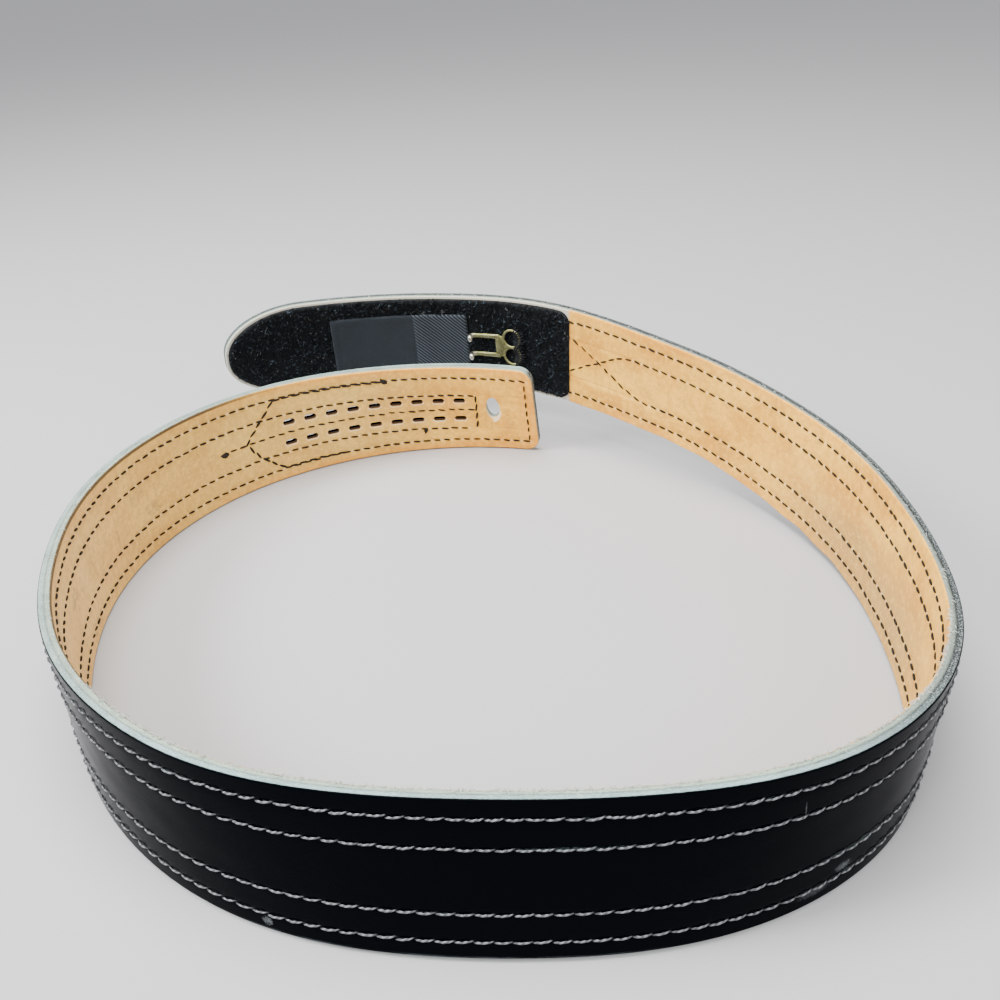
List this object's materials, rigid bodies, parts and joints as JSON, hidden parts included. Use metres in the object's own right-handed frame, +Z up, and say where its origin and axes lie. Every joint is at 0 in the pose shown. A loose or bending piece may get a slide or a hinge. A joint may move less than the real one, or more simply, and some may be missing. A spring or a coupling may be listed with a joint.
{
  "type": "duty belt",
  "caption": "Lined leather duty belt standing open on its edge, glossy black outside and tan inside, with adjusting slots, an oval hole, a pile panel and a brass hook.",
  "frame": {"origin": "on the ground, below the middle of the belt's box", "axes": "+Z up across the belt's width, -Y towards the viewer at the loop's front, +X to the viewer's right"},
  "size_m": [0.3629, 0.4198, 0.0798],
  "materials": {
    "black_leather": "glossy black, lightly worn",
    "tan_leather": "natural vegetable-tanned, matt",
    "black_pile": "black loop pile",
    "slate_weave": "dark slate twill",
    "brass": "aged brass"
  },
  "bodies": {
    "root": {"outer_strap": "black_leather", "lining": "tan_leather", "loop_panel": "black_pile", "woven_patch": "slate_weave", "adjusting_hook": "brass"}
  },
  "joints": []
}
